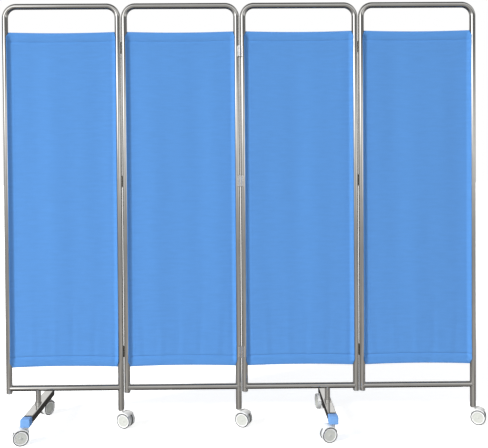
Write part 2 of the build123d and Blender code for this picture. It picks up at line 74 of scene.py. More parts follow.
def steel(name, colour, rough, streak, smear):
    """Stainless steel: metal whose roughness and height follow fine lines along the piece's UV map,
    with broad cloudy patches of wiping on Object coordinates."""
    material = bpy.data.materials.new(name)
    material.use_nodes = True
    tree = material.node_tree
    shader = tree.nodes["Principled BSDF"]
    shader.inputs["Metallic"].default_value = 1.0
    place = tree.nodes.new("ShaderNodeTexCoord")
    lines_map = tree.nodes.new("ShaderNodeMapping")
    lines_map.inputs["Scale"].default_value = STREAKS_PER_METRE
    lines = tree.nodes.new("ShaderNodeTexNoise")
    lines.inputs["Scale"].default_value = 1.0
    lines.inputs["Detail"].default_value = 3.0
    tree.links.new(place.outputs["UV"], lines_map.inputs["Vector"])
    tree.links.new(lines_map.outputs["Vector"], lines.inputs["Vector"])
    clouds = tree.nodes.new("ShaderNodeTexNoise")
    clouds.inputs["Scale"].default_value = WIPES_PER_METRE
    clouds.inputs["Detail"].default_value = 4.0
    tree.links.new(place.outputs["Object"], clouds.inputs["Vector"])
    tint = tree.nodes.new("ShaderNodeValToRGB")
    tint.color_ramp.elements[0].position = 0.3
    tint.color_ramp.elements[0].color = [c * (1 - smear) for c in colour] + [1]
    tint.color_ramp.elements[1].position = 0.75
    tint.color_ramp.elements[1].color = list(colour) + [1]
    tree.links.new(clouds.outputs["Fac"], tint.inputs["Fac"])
    tree.links.new(tint.outputs["Color"], shader.inputs["Base Color"])
    gloss = tree.nodes.new("ShaderNodeMapRange")
    gloss.inputs["From Min"].default_value = 0.3
    gloss.inputs["From Max"].default_value = 0.7
    gloss.inputs["To Min"].default_value = rough * 0.75
    gloss.inputs["To Max"].default_value = rough * 1.35
    tree.links.new(lines.outputs["Fac"], gloss.inputs["Value"])
    tree.links.new(gloss.outputs["Result"], shader.inputs["Roughness"])
    bump = tree.nodes.new("ShaderNodeBump")
    bump.inputs["Strength"].default_value = streak
    bump.inputs["Distance"].default_value = STREAK_HEIGHT
    tree.links.new(lines.outputs["Fac"], bump.inputs["Height"])
    tree.links.new(bump.outputs["Normal"], shader.inputs["Normal"])
    return material


def skin(name, grids, material, sharp=35.0):
    """One closed mesh from grids of points, each (rows, columns, 3) with flags that say whether its
    rows and its columns close on themselves. Cells are quads, and the UV map holds metres: across
    the columns in U and along the rows in V."""
    corners, quads, maps, start = [], [], [], 0
    for points, rows_close, columns_close in grids:
        rows, columns = points.shape[:2]
        index = np.arange(rows * columns).reshape(rows, columns) + start
        run = np.linalg.norm(np.diff(points, axis=0, append=points[:1]), axis=2).mean(axis=1)
        side = np.linalg.norm(np.diff(points, axis=1, append=points[:, :1]), axis=2).max(axis=0)
        v = np.concatenate([[0], np.cumsum(run)])[:rows + rows_close]
        u = np.concatenate([[0], np.cumsum(side)])[:columns + columns_close]
        if rows_close:
            index = np.vstack([index, index[:1]])
        if columns_close:
            index = np.hstack([index, index[:, :1]])
        uv = np.stack(np.broadcast_arrays(u[None, :], v[:, None]), axis=-1)
        around = [(slice(None, -1), slice(None, -1)), (slice(1, None), slice(None, -1)),
                  (slice(1, None), slice(1, None)), (slice(None, -1), slice(1, None))]
        quads.append(np.stack([index[a] for a in around], axis=-1).reshape(-1, 4))
        maps.append(np.stack([uv[a] for a in around], axis=2).reshape(-1, 2))
        corners.append(points.reshape(-1, 3))
        start += rows * columns
    mesh = bpy.data.meshes.new(name)
    mesh.from_pydata(np.concatenate(corners), [], np.concatenate(quads).tolist())
    layer = mesh.uv_layers.new(name="UVMap")
    layer.uv.foreach_set("vector", np.concatenate(maps).ravel())
    merged = bmesh.new()
    merged.from_mesh(mesh)
    bmesh.ops.remove_doubles(merged, verts=merged.verts, dist=SAME_POINT)
    bmesh.ops.recalc_face_normals(merged, faces=merged.faces)
    merged.to_mesh(mesh)
    merged.free()
    mesh.polygons.foreach_set("use_smooth", np.ones(len(mesh.polygons), dtype=bool))
    mesh.set_sharp_from_angle(angle=math.radians(sharp))
    piece = bpy.data.objects.new(name, mesh)
    bpy.context.scene.collection.objects.link(piece)
    mesh.materials.append(material)
    return piece


def carried(path, across, section, closed=False):
    """Carries a section (m, 2) along a path (n, 3). The section's first size lies along across, a
    unit vector at each point of the path, and its second square to that and to the path."""
    if closed:
        tangent = np.roll(path, -1, axis=0) - np.roll(path, 1, axis=0)
    else:
        tangent = np.gradient(path, axis=0)
    tangent /= np.linalg.norm(tangent, axis=1, keepdims=True)
    across = np.broadcast_to(np.asarray(across, dtype=float), path.shape)
    across = across - (across * tangent).sum(axis=1, keepdims=True) * tangent
    across = across / np.linalg.norm(across, axis=1, keepdims=True)
    square = np.cross(tangent, across)
    return (path[:, None] + section[None, :, :1] * across[:, None] + section[None, :, 1:] * square[:, None])


def ring(radius, sides):
    """A circle's points (sides, 2)."""
    turn = np.linspace(0, 2 * np.pi, sides, endpoint=False)
    return radius * np.stack([np.cos(turn), np.sin(turn)], axis=1)


def frame_path(left, right, left_end, right_end, top):
    """The tube's centreline: up the left post, a quarter circle, the top, a quarter circle and down."""
    bend = np.linspace(0, np.pi / 2, BEND_STEPS)
    first = np.stack([left + BEND_R * (1 - np.cos(bend)), 0 * bend, top - BEND_R * (1 - np.sin(bend))], axis=1)
    last = np.stack([right - BEND_R * (1 - np.sin(bend)), 0 * bend, top - BEND_R * (1 - np.cos(bend))], axis=1)
    ends = np.array([[left, 0, left_end]]), np.array([[right, 0, right_end]])
    near = np.array([[left, 0, top - 2 * BEND_R]]), np.array([[right, 0, top - 2 * BEND_R]])
    return np.concatenate([ends[0], near[0], first, last, near[1], ends[1]])


SHORT_END, LONG_END = 0.148, 0.071
POST_ENDS = ((SHORT_END, LONG_END), (SHORT_END, LONG_END), (SHORT_END, SHORT_END), (SHORT_END, LONG_END))
LEAVES = range(1, 5)
tube_steel = steel("polished_tube_steel", (0.66, 0.655, 0.635), 0.035, 0.10, 0.08)
for leaf, (left_end, right_end) in zip(LEAVES, POST_ENDS):
    low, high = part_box(f"frame_{leaf}")
    path = frame_path(low[0] + TUBE_R, high[0] - TUBE_R, left_end, right_end, high[2] - TUBE_R)
    outside = carried(path, (0, 1, 0), ring(TUBE_R, TUBE_SIDES))
    inside = carried(path, (0, 1, 0), ring(TUBE_R - TUBE_WALL, TUBE_SIDES))
    tube = skin(f"frame_tube_{leaf}", [(np.concatenate([outside, inside[::-1]]), True, True)], tube_steel)
    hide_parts(f"frame_{leaf}")
    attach(tube, f"leaf_{leaf}")

# Bottom rails: a 25 mm tube coped to the posts and welded to them all round, then polished over,
# so that only a low rounded bead shows at each end.
RAIL_R = 0.0125
RAIL_Z = 0.168
BEAD_R = 0.0013
BEAD_SIDES = 10
BEAD_RIPPLES = 46
RIPPLE_STEPS = 4
RIPPLE_SHARE = 0.12
bead_steel = steel("weld_bead_steel", (0.60, 0.58, 0.55), 0.24, 0.3, 0.25)


def post_weld(post, side):
    """The weld round a rail's end: a bead on the curve where the rail's cylinder meets the post's, with
    its radius rippled as each drop of the weld froze."""
    turn = np.linspace(0, 2 * np.pi, RIPPLE_STEPS * BEAD_RIPPLES, endpoint=False)
    y, z = RAIL_R * np.sin(turn), RAIL_R * np.cos(turn)
    path = np.stack([post + side * np.sqrt(TUBE_R ** 2 - y ** 2), y, RAIL_Z + z], axis=1)
    outward = np.stack([0 * turn, np.sin(turn), np.cos(turn)], axis=1)
    bead = carried(path, outward, ring(BEAD_R, BEAD_SIDES), closed=True)
    swell = 1 + RIPPLE_SHARE * np.cos(BEAD_RIPPLES * turn)[:, None, None]
    return path[:, None] + (bead - path[:, None]) * swell


for leaf in LEAVES:
    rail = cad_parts[f"bottom_rail_{leaf}"]
    rail.data.materials.clear()
    rail.data.materials.append(tube_steel)
    low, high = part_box(f"frame_{leaf}")
    ends = [(post_weld(low[0] + TUBE_R, 1), True, True), (post_weld(high[0] - TUBE_R, -1), True, True)]
    beads = skin(f"rail_welds_{leaf}", ends, bead_steel, sharp=180.0)
    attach(beads, f"leaf_{leaf}")

# Curtains: woven cloth stretched between two drawn steel rods. Its top and bottom are turned back
# round the rods and sewn, its sides are turned in once and sewn, all with blue thread. It is a
# little wider than the gap between the posts, so its sides come forward and lie over their fronts.
ROD_R = 0.0025
PLY = 0.0006
SLEEVE_R = 0.0033
SEAM_Y = 0.0005
TOP_HEM = 0.036
BOTTOM_HEM = 0.039
SIDE_HEM = 0.026
HALF_CLOTH = 0.2245
TOP_ROD = (1.672, 0.004)
BOTTOM_ROD = (0.2645, -0.0045)
CLOTH_COLUMNS = 89
SIDE_COLUMNS = 14
SIDE_HEM_COLUMNS = 17
CLOTH_ROWS = 241
HEM_ROWS = 10
SLEEVE_ROWS = 12
SEAM_ROWS = np.arange(-12, 17) / 3
LEAST_ROW_SHARE = 0.0006
BROAD_WAVE, NARROW_WAVE = 0.0014, 0.0007
FAN_CREASE = 0.0009
GATHER = 0.0004
PUCKER = 0.00035
PUFF_IN_HEM = 0.0022
PUFF_IN_CLOTH = 0.0034
PUFF_RUN = 0.0045
PUFF_FADE = 0.03
SIDE_RUN = 0.014
SIDE_OVER = 0.005
SIDE_OUT = 0.0108
SIDE_RISE = 0.02
POST_AXIS = 0.2375
POST_CLEAR = 0.013
STITCH = 0.0042
STITCH_PITCH = 0.0056
THREAD_R = 0.00028
THREAD_STEPS = np.array([-1.0, -0.55, 0.0, 0.55, 1.0])
THREAD_SHARES = np.array([0.02, 0.85, 1.0, 0.85, 0.02])
SIDE_SEAM_INSET = 0.003
SIDE_SEAM_GAP = 0.004
HEM_BEHIND = 1.6 * PLY
WEAVE_SCALE = 320.0
YARNS_PER_METRE = (14.0, 90.0, 1.0)
YARN_HEIGHT = 0.0001


def cloth_material(name, colour):
    """Plain woven cloth: warp and weft as two crossed waves of the UV map in the height, uneven yarn
    as stretched noise in the colour, and a soft sheen."""
    material = bpy.data.materials.new(name)
    material.use_nodes = True
    tree = material.node_tree
    shader = tree.nodes["Principled BSDF"]
    shader.inputs["Roughness"].default_value = 0.55
    shader.inputs["Sheen Weight"].default_value = 0.12
    shader.inputs["Sheen Roughness"].default_value = 0.4
    shader.inputs["Specular IOR Level"].default_value = 0.6
    place = tree.nodes.new("ShaderNodeTexCoord")
    waves = []
    for direction in ("X", "Y"):
        wave = tree.nodes.new("ShaderNodeTexWave")
        wave.bands_direction = direction
        wave.inputs["Scale"].default_value = WEAVE_SCALE
        wave.inputs["Distortion"].default_value = 0.6
        wave.inputs["Detail"].default_value = 1.0
        tree.links.new(place.outputs["UV"], wave.inputs["Vector"])
        waves.append(wave)
    weave = tree.nodes.new("ShaderNodeMath")
    weave.operation = "MAXIMUM"
    for socket, wave in zip(weave.inputs, waves):
        tree.links.new(wave.outputs["Fac"], socket)
    bump = tree.nodes.new("ShaderNodeBump")
    bump.inputs["Strength"].default_value = 0.25
    bump.inputs["Distance"].default_value = YARN_HEIGHT
    tree.links.new(weave.outputs["Value"], bump.inputs["Height"])
    tree.links.new(bump.outputs["Normal"], shader.inputs["Normal"])
    yarn_map = tree.nodes.new("ShaderNodeMapping")
    yarn_map.inputs["Scale"].default_value = YARNS_PER_METRE
    yarn = tree.nodes.new("ShaderNodeTexNoise")
    yarn.inputs["Scale"].default_value = 1.0
    yarn.inputs["Detail"].default_value = 5.0
    yarn.inputs["Roughness"].default_value = 0.65
    tree.links.new(place.outputs["UV"], yarn_map.inputs["Vector"])
    tree.links.new(yarn_map.outputs["Vector"], yarn.inputs["Vector"])
    tint = tree.nodes.new("ShaderNodeValToRGB")
    tint.color_ramp.elements[0].position = 0.25
    tint.color_ramp.elements[0].color = [c * 0.93 for c in colour] + [1]
    tint.color_ramp.elements[1].position = 0.75
    tint.color_ramp.elements[1].color = [min(1, c * 1.05) for c in colour] + [1]
    tree.links.new(yarn.outputs["Fac"], tint.inputs["Fac"])
    tree.links.new(tint.outputs["Color"], shader.inputs["Base Color"])
    return material


def bow(x, rod):
    """The height of a rod's centre at x from the leaf's middle: an arc with its ends moved by the bow."""
    height, rise = rod
    return height + rise * (x / HALF_CLOTH) ** 2


def slack(x, down, leaf):
    """How far the stretched cloth stands out of its plane: broad upright waves that fade towards the
    rods, creases that fan up from the bottom hem, and puckers along the seams."""
    seed = 1.7 * leaf
    fade = np.sin(np.pi * down) ** 0.5
    broad = BROAD_WAVE * np.sin(21 * x + seed + 0.8 * down)
    narrow = NARROW_WAVE * np.sin(47 * x + 2.3 * seed - 1.4 * down)
    low = np.exp(-((1 - down) / 0.16) ** 2)
    spread = 1 + 0.5 * (1 - down)
    fan = FAN_CREASE * low * np.sin(97 * x / spread + 3 * seed) * np.cos(38 * x / spread + seed) ** 3
    high = np.exp(-(down / 0.05) ** 2)
    gathers = GATHER * high * np.sin(240 * x + seed) * np.sin(77 * x + 2 * seed)
    edge = np.exp(-((HALF_CLOTH - SIDE_HEM - np.abs(x)) / 0.008) ** 2)
    pucker = PUCKER * edge * np.sin(420 * down + 3 * np.sin(31 * down + seed))
    return (broad + narrow) * fade + fan + gathers + pucker


def puff(past, hem):
    """How far the cloth swells on both sides of a seam that draws it in: past is the distance from the
    seam, below zero in the hem, where the swelling ends at the rod."""
    draw = 1 - np.exp(-np.abs(past) / PUFF_RUN)
    in_hem = PUFF_IN_HEM * (1 - np.clip(-past / hem, 0, 1) ** 4)
    return draw * np.where(past < 0, in_hem, PUFF_IN_CLOTH * np.exp(-np.abs(past) / PUFF_FADE))


def over_posts(x, y, from_rod):
    """The cloth's sides come forward and reach over the posts, except close to the rods. A ply that
    isn't in front of the post yet ends beside it."""
    side = np.clip((np.abs(x) - HALF_CLOTH + SIDE_RUN) / SIDE_RUN, 0, 1) ** 2
    share = np.clip(from_rod / SIDE_RISE, 0, 1)
    share = side * share * share * (3 - 2 * share)
    y = y - SIDE_OUT * share
    beside = POST_AXIS - np.sqrt(np.clip(POST_CLEAR ** 2 - y ** 2, 0, None))
    return np.sign(x) * np.minimum(np.abs(x) + SIDE_OVER * share, beside), y


def cloth_points(leaf, middle, x, part, at):
    """Points of the cloth: x from the leaf's middle, and a share of the way down from the top rod
    (part "front"), or an angle round a rod (parts "top" and "bottom"), or a share of the hem behind
    (parts "top_hem" and "bottom_hem")."""
    top, bottom = bow(x, TOP_ROD), bow(x, BOTTOM_ROD)
    if part == "front":
        z = top + (bottom - top) * at
        from_top, from_bottom = top - z, z - bottom
        lift = np.clip(1 - from_top / TOP_HEM, 0, 1) + np.clip(1 - from_bottom / BOTTOM_HEM, 0, 1)
        swell = puff(from_top - TOP_HEM, TOP_HEM) + puff(from_bottom - BOTTOM_HEM, BOTTOM_HEM)
        free = (1 - lift) * np.clip((HALF_CLOTH - np.abs(x)) / SIDE_RUN, 0, 1)
        y = -SEAM_Y - (SLEEVE_R - SEAM_Y) * lift - slack(x, at, leaf) * free - swell
        x, y = over_posts(x, y, np.minimum(from_top, from_bottom))
    elif part == "top":
        y, z = -SLEEVE_R * np.cos(at), top + SLEEVE_R * np.sin(at)
    elif part == "bottom":
        y, z = -SLEEVE_R * np.cos(at), bottom - SLEEVE_R * np.sin(at)
    elif part == "top_hem":
        z = top - TOP_HEM * at
        x, y = over_posts(x, SLEEVE_R + (SEAM_Y - SLEEVE_R) * at, TOP_HEM * at)
    else:
        z = bottom + BOTTOM_HEM * at
        x, y = over_posts(x, SLEEVE_R + (SEAM_Y - SLEEVE_R) * at, BOTTOM_HEM * at)
    return np.stack(np.broadcast_arrays(middle + x, y, z), axis=-1)


def stitches(runs, thread):
    """Threads of a seam: each a short spindle of four sides, thick in its middle and sunk at its ends.
    A run is (centres, directions, outward normals)."""
    grids = []
    reach = THREAD_STEPS * STITCH / 2
    turn = np.linspace(0, 2 * np.pi, 4, endpoint=False)
    wide = (THREAD_SHARES * THREAD_R)[None, :, None] * np.cos(turn)
    deep = (THREAD_SHARES * THREAD_R)[None, :, None] * np.sin(turn)
    for centres, along, outward in runs:
        side = np.cross(along, outward)
        points = (centres[:, None, None] + reach[None, :, None, None] * along[:, None, None]
                  + wide[..., None] * side[:, None, None] + deep[..., None] * outward[:, None, None])
        grids += [(one, False, True) for one in points]
    return grids


curtain_cloth = cloth_material("woven_blue_cloth", (0.072, 0.236, 0.565))
thread_cloth = cloth_material("blue_sewing_thread", (0.05, 0.21, 0.53))
rod_steel = steel("drawn_rod_steel", (0.58, 0.57, 0.55), 0.25, 0.3, 0.2)
for leaf in LEAVES:
    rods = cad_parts[f"hem_rods_{leaf}"]
    rods.data.materials.clear()
    rods.data.materials.append(rod_steel)
    low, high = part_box(f"frame_{leaf}")
    middle = (low[0] + high[0]) / 2
    inner = np.linspace(SIDE_RUN - HALF_CLOTH, HALF_CLOTH - SIDE_RUN, CLOTH_COLUMNS)
    outer = np.linspace(HALF_CLOTH - SIDE_RUN, HALF_CLOTH, SIDE_COLUMNS)[1:]
    across = np.concatenate([-outer[::-1], inner, outer])[None, :]
    drop = TOP_ROD[0] - BOTTOM_ROD[0]
    hem_share = TOP_HEM / drop, BOTTOM_HEM / drop
    near = SEAM_ROWS * PUFF_RUN / drop
    close = np.concatenate([hem_share[0] + near, 1 - hem_share[1] - near])
    even = np.linspace(0, 1, CLOTH_ROWS)
    even = even[np.abs(even[:, None] - close[None, :]).min(axis=1) > LEAST_ROW_SHARE]
    down = np.sort(np.concatenate([even, close]))
    rows = [cloth_points(leaf, middle, across, part, at[:, None])
            for part, at in (("top_hem", np.linspace(1, 0, HEM_ROWS)[:-1]),
                             ("top", np.linspace(np.pi, 0, SLEEVE_ROWS)[:-1]),
                             ("front", down),
                             ("bottom", np.linspace(0, np.pi, SLEEVE_ROWS)[1:]),
                             ("bottom_hem", np.linspace(0, 1, HEM_ROWS)[1:]))]
    cloth = skin(f"curtain_cloth_{leaf}", [(np.concatenate(rows), False, False)], curtain_cloth, sharp=180.0)
    solid = cloth.modifiers.new("thickness", "SOLIDIFY")
    solid.thickness = PLY
    solid.offset = 0.0
    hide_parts(f"curtain_{leaf}")
    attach(cloth, f"leaf_{leaf}")
    strips = []
    for way in (-1, 1):
        edge = way * np.linspace(HALF_CLOTH, HALF_CLOTH - SIDE_HEM, SIDE_HEM_COLUMNS)[None, :]
        share = np.linspace(hem_share[0], 1 - hem_share[1], CLOTH_ROWS // 2)[:, None]
        strip = cloth_points(leaf, middle, edge, "front", share) + np.array([0, HEM_BEHIND, 0])
        strips.append((strip, False, False))
    side_hems = skin(f"curtain_side_hems_{leaf}", strips, curtain_cloth, sharp=180.0)
    solid = side_hems.modifiers.new("thickness", "SOLIDIFY")
    solid.thickness = PLY
    solid.offset = 0.0
    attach(side_hems, f"leaf_{leaf}")
    runs = []
    seam_x = np.arange(-HALF_CLOTH + STITCH, HALF_CLOTH - STITCH, STITCH_PITCH)
    for share in (hem_share[0], 1 - hem_share[1]):
        front = cloth_points(leaf, middle, seam_x, "front", np.full_like(seam_x, share))
        along = np.gradient(front, axis=0)
        along /= np.linalg.norm(along, axis=1, keepdims=True)
        for face, out in ((-PLY / 2, -1.0), (2 * SEAM_Y + PLY / 2, 1.0)):
            runs.append((front + np.array([0, face, 0]), along, np.tile([0, out, 0], (len(seam_x), 1))))
    seam_share = np.arange(hem_share[0] + SIDE_SEAM_GAP, 1 - hem_share[1] - SIDE_SEAM_GAP, STITCH_PITCH / drop)
    for way in (-1, 1):
        seam_at = np.full_like(seam_share, way * (HALF_CLOTH - SIDE_HEM + SIDE_SEAM_INSET))
        front = cloth_points(leaf, middle, seam_at, "front", seam_share)
        along = np.gradient(front, axis=0)
        along /= np.linalg.norm(along, axis=1, keepdims=True)
        for face, out in ((-PLY / 2, -1.0), (2.1 * PLY, 1.0)):
            outward = np.tile([0, out, 0], (len(front), 1))
            runs.append((front + np.array([0, face, 0]), along, outward))
    thread = skin(f"curtain_stitching_{leaf}", stitches(runs, thread_cloth), thread_cloth, sharp=180.0)
    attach(thread, f"leaf_{leaf}")

# End plugs: short posts are closed with a moulded plug, pushed in, with a domed glossy head.
MOTTLE_SCALE = 60.0
GRAIN_SCALE = 1400.0
GRAIN_HEIGHT = 0.00005


def plastic(name, colour, rough, grain):
    """Moulded plastic: one colour with a faint mottle, and a fine even grain in the height."""
    material = bpy.data.materials.new(name)
    material.use_nodes = True
    tree = material.node_tree
    shader = tree.nodes["Principled BSDF"]
    shader.inputs["Specular IOR Level"].default_value = 0.5
    place = tree.nodes.new("ShaderNodeTexCoord")
    mottle = tree.nodes.new("ShaderNodeTexNoise")
    mottle.inputs["Scale"].default_value = MOTTLE_SCALE
    mottle.inputs["Detail"].default_value = 3.0
    tree.links.new(place.outputs["Object"], mottle.inputs["Vector"])
    tint = tree.nodes.new("ShaderNodeValToRGB")
    tint.color_ramp.elements[0].position = 0.3
    tint.color_ramp.elements[0].color = [c * 0.94 for c in colour] + [1]
    tint.color_ramp.elements[1].position = 0.7
    tint.color_ramp.elements[1].color = list(colour) + [1]
    tree.links.new(mottle.outputs["Fac"], tint.inputs["Fac"])
    tree.links.new(tint.outputs["Color"], shader.inputs["Base Color"])
    gloss = tree.nodes.new("ShaderNodeMapRange")
    gloss.inputs["To Min"].default_value = rough * 0.8
    gloss.inputs["To Max"].default_value = rough * 1.25
    tree.links.new(mottle.outputs["Fac"], gloss.inputs["Value"])
    tree.links.new(gloss.outputs["Result"], shader.inputs["Roughness"])
    fine = tree.nodes.new("ShaderNodeTexNoise")
    fine.inputs["Scale"].default_value = GRAIN_SCALE
    tree.links.new(place.outputs["Object"], fine.inputs["Vector"])
    bump = tree.nodes.new("ShaderNodeBump")
    bump.inputs["Strength"].default_value = grain
    bump.inputs["Distance"].default_value = GRAIN_HEIGHT
    tree.links.new(fine.outputs["Fac"], bump.inputs["Height"])
    tree.links.new(bump.outputs["Normal"], shader.inputs["Normal"])
    return material


plug_plastic = plastic("grey_plug_plastic", (0.42, 0.43, 0.44), 0.18, 0.05)
for leaf in LEAVES:
    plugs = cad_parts[f"post_plugs_{leaf}"]
    plugs.data.materials.clear()
    plugs.data.materials.append(plug_plastic)

# Hinges: pressed steel leaves rolled round a pin, each welded to its post along its edges.
hinge_steel = steel("hinge_steel", (0.86, 0.855, 0.84), 0.14, 0.2, 0.1)
for name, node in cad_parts.items():
    if name.startswith("hinge"):
        node.data.materials.clear()
        node.data.materials.append(hinge_steel)

# Cross feet: a rectangular polished tube under the leaf and a short stub with a collar up to the
# rail. The bar's front end wears a moulded blue cap, its rear end a flush grey plug.
BAR_WIDTH, BAR_DEPTH, BAR_CORNER = 0.036, 0.030, 0.003
BAR_MIDDLE = 0.0875
BAR_HALF = 0.1975
CAP_SKIN = 0.0015
CAP_FIT = 0.0001
CAP_WRAP = 0.033
CAP_ROUND = 0.003
FOOT_HALF = 0.2
PLUG_ROUND = 0.0018
PLUG_SHANK = 0.009
BAR_WALL = 0.0015
EDGE_STEPS = 7
LEAST_CORNER = 0.0004


def rounded(width, depth, corner):
    """A rounded rectangle's outline (points, 2)."""
    turn = np.linspace(0, np.pi / 2, EDGE_STEPS)
    outline = []
    for quarter, (sx, sz) in enumerate(((1, 1), (-1, 1), (-1, -1), (1, -1))):
        angle = turn + quarter * np.pi / 2
        middle = np.array([sx * (width / 2 - corner), sz * (depth / 2 - corner)])
        outline.append(middle + corner * np.stack([np.cos(angle), np.sin(angle)], axis=1))
    return np.concatenate(outline)


def lofted(x, z, stations):
    """Rounded rectangles at stations along Y, each (y, width, depth, corner); a width of zero is a point."""
    rows = []
    for y, width, depth, corner in stations:
        outline = rounded(width, depth, corner) if width > 0 else 0 * rounded(1, 1, 0.1)
        rows.append(np.stack([x + outline[:, 0], np.full(len(outline), y), z + outline[:, 1]], axis=1))
    return np.stack(rows)


def domed(y, way, width, depth, corner, edge):
    """Stations of an end with a rounded edge: from its full width at y - edge to its flat face at y."""
    steps = []
    for turn in np.linspace(0, np.pi / 2, EDGE_STEPS):
        inset = edge * (1 - np.cos(turn))
        steps.append((y - way * edge * (1 - np.sin(turn)), width - 2 * inset, depth - 2 * inset,
                      max(corner - inset, LEAST_CORNER)))
    return steps + [(y, width / 2, depth / 2, corner / 2), (y, 0, 0, 0)]


cap_plastic = plastic("blue_cap_plastic", (0.17, 0.36, 0.70), 0.32, 0.1)
end_plastic = plastic("grey_end_plug_plastic", (0.16, 0.16, 0.165), 0.3, 0.1)
for side in ("left", "right"):
    for part in ("foot_bar", "foot_stub"):
        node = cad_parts[f"{side}_{part}"]
        node.data.materials.clear()
        node.data.materials.append(tube_steel)
    low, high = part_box(f"{side}_foot_bar")
    foot = (low[0] + high[0]) / 2
    mouth = CAP_WRAP - BAR_HALF
    outer = BAR_WIDTH + 2 * CAP_SKIN, BAR_DEPTH + 2 * CAP_SKIN, BAR_CORNER + CAP_SKIN
    inner = BAR_WIDTH + 2 * CAP_FIT, BAR_DEPTH + 2 * CAP_FIT, BAR_CORNER + CAP_FIT
    sleeve = [(-BAR_HALF - CAP_FIT, 0, 0, 0), (-BAR_HALF - CAP_FIT, *inner), (mouth, *inner), (mouth, *outer)]
    cap = skin(f"{side}_foot_cap", [(lofted(foot, BAR_MIDDLE, sleeve + domed(-FOOT_HALF, -1, *outer, CAP_ROUND)),
                                     False, True)], cap_plastic)
    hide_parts(f"{side}_foot_caps")
    head = BAR_WIDTH, BAR_DEPTH, BAR_CORNER
    shank = BAR_WIDTH - 2 * (BAR_WALL + CAP_FIT), BAR_DEPTH - 2 * (BAR_WALL + CAP_FIT), BAR_CORNER / 2
    seat = BAR_HALF + CAP_FIT
    peg = [(seat - PLUG_SHANK, 0, 0, 0), (seat - PLUG_SHANK, *shank), (seat, *shank), (seat, *head)]
    plug = skin(f"{side}_foot_end_plug", [(lofted(foot, BAR_MIDDLE, peg + domed(FOOT_HALF, 1, *head, PLUG_ROUND)),
                                           False, True)], end_plastic)
    for piece in (cap, plug):
        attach(piece, "leaf_1" if side == "left" else "leaf_3")

# Casters: white moulded hoods that swivel on a steel stem. Each carries two wheels: a tyre with a pale tread round a
# white hub, and a pale disc pressed into the hub's outer face. The tyre's sides are near black, painted shade that
# draws a dark gap round each wheel's edge.
WHEEL_R = 0.0315
TRAIL = 0.022
WHEEL_INNER, WHEEL_OUTER = 0.0065, 0.024
HUB_R = 0.0275
AXLE_R = 0.00305
WHEEL_SIDES = 96
POST_TRAIL_DEG = -22.0
FOOT_REACH = 0.179
FOOT_TRAIL_DEG = {"left_foot_front": 199.0, "left_foot_rear": 241.0,
                  "right_foot_front": 195.0, "right_foot_rear": 98.0}


def arc(middle, radius, start, stop, steps=6):
    """Points of an arc (steps, 2), its angles in degrees."""
    turn = np.radians(np.linspace(start, stop, steps))
    return np.array(middle) + radius * np.stack([np.cos(turn), np.sin(turn)], axis=1)


def turned_on(profile, hub, outward):
    """A profile of (offset, radius) turned about a wheel's axle."""
    profile = np.asarray(profile)
    turn = np.linspace(0, 2 * np.pi, WHEEL_SIDES, endpoint=False)
    along = np.cross(outward, (0, 0, 1))
    spoke = np.cos(turn)[:, None] * along + np.sin(turn)[:, None] * np.array([0, 0, 1])
    return hub + profile[:, None, :1] * outward + profile[:, None, 1:] * spoke[None]


EDGE = 0.002
HUB_FIT = 0.00005
TREAD_DEPTH = 0.0006
TREAD_SINK = 0.0001
CORE_R = WHEEL_R - TREAD_DEPTH
TYRE = np.concatenate([[(WHEEL_INNER, HUB_R + HUB_FIT)],
                       arc((WHEEL_INNER + EDGE, CORE_R - EDGE), EDGE, 180, 90),
                       arc((WHEEL_OUTER - EDGE, CORE_R - EDGE), EDGE, 90, 0),
                       [(WHEEL_OUTER, HUB_R + HUB_FIT)]])
TREAD = np.concatenate([[(WHEEL_INNER + EDGE, CORE_R - TREAD_SINK)],
                        arc((WHEEL_INNER + EDGE / 2 + TREAD_DEPTH, WHEEL_R - TREAD_DEPTH), TREAD_DEPTH, 180, 90),
                        arc((WHEEL_OUTER - EDGE / 2 - TREAD_DEPTH, WHEEL_R - TREAD_DEPTH), TREAD_DEPTH, 90, 0),
                        [(WHEEL_OUTER - EDGE, CORE_R - TREAD_SINK)]])
DISH = WHEEL_OUTER - 0.0016
DISH_R = 0.0229
BORE_END = WHEEL_OUTER - 0.004
LIP_R = 0.0006
LIP = WHEEL_OUTER - LIP_R
LIP_WIDTH = 0.0022
HUB = np.concatenate([[(BORE_END, 0), (BORE_END, AXLE_R), (WHEEL_INNER, AXLE_R), (WHEEL_INNER, HUB_R), (LIP, HUB_R)],
                      arc((LIP, HUB_R - LIP_R), LIP_R, 90, 0),
                      arc((LIP, HUB_R - LIP_R - LIP_WIDTH), LIP_R, 0, -60),
                      [(DISH, DISH_R), (DISH, 0)]])
DISC_BACK = DISH + 0.00002
DISC_R = 0.0222
RINGS_FROM, RINGS_TO, RING_STEPS = 0.0216, 0.006, 40
RING_FACE, RING_HEIGHT, RING_PHASE = DISH + 0.0008, 0.00025, 1300
BOSS_FACE = DISH + 0.0019
DISC = np.concatenate([[(DISC_BACK, 0), (DISC_BACK, DISC_R), (DISH + 0.0006, DISC_R)],
                       [(RING_FACE + RING_HEIGHT * math.cos(RING_PHASE * r), r)
                        for r in np.linspace(RINGS_FROM, RINGS_TO, RING_STEPS)],
                       [(BOSS_FACE - 0.0002, 0.0052), (BOSS_FACE, 0.0044), (BOSS_FACE, 0)]])
stem_steel = steel("zinc_stem_steel", (0.66, 0.66, 0.65), 0.28, 0.2, 0.15)
hood_plastic = plastic("white_hood_plastic", (0.88, 0.88, 0.87), 0.25, 0.06)
# Painted shade: the tyre's sides are coloured near black so that a dark ring of shadow outlines each wheel.
painted_shade_tyre = plastic("tyre_sides_painted_shade", (0.05, 0.052, 0.055), 0.5, 0.2)
tread_rubber = plastic("pale_tread_rubber", (0.66, 0.67, 0.67), 0.5, 0.2)
hub_plastic = plastic("white_hub_plastic", (0.80, 0.80, 0.79), 0.3, 0.05)
disc_plastic = plastic("pale_disc_plastic", (0.55, 0.56, 0.52), 0.5, 0.2)
